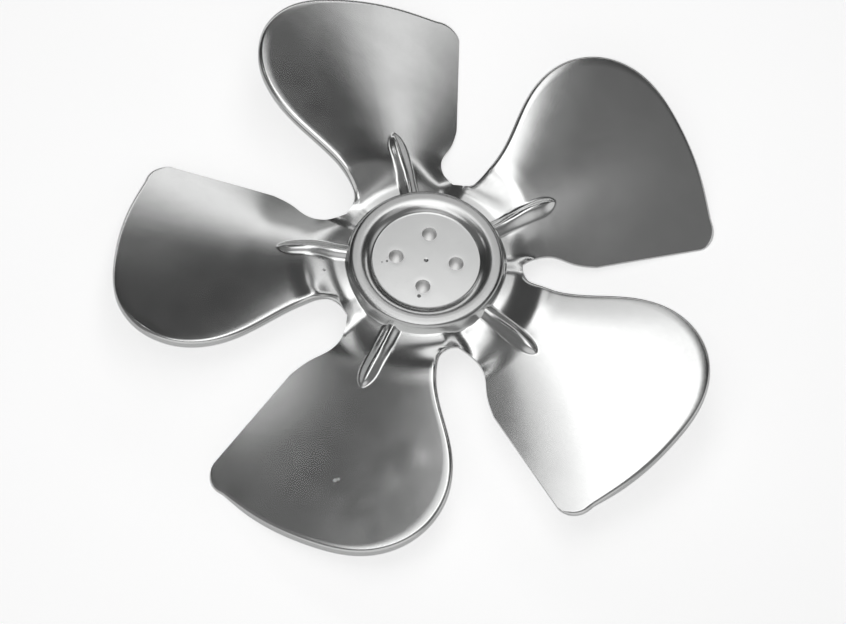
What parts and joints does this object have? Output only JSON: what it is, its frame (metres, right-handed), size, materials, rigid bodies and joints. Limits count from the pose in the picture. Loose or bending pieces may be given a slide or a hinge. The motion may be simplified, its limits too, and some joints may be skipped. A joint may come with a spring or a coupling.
{
  "type": "axial fan impeller",
  "caption": "Axial fan impeller pressed from aluminium sheet, with pitched ribbed blades, rolled lips, a riveted hub boss and a blind shaft bore.",
  "frame": {"origin": "centre of the shaft bore at its mouth, on the rear face of the hub boss", "axes": "+Z along the fan's axis, from the rear of the boss to the dish; +X is 36 degrees clockwise of the first blade's rib, seen from +Z"},
  "size_m": [0.2493, 0.2552, 0.0466],
  "materials": {
    "sheet_aluminium": "satin mill finish",
    "boss_metal": "turned",
    "rivet_aluminium": "plain",
    "screw_steel": "black oxide"
  },
  "bodies": {
    "root": {"blade_wheel": "sheet_aluminium", "hub_boss": "boss_metal", "rivets": "rivet_aluminium", "grub_screw": "screw_steel"}
  },
  "joints": []
}
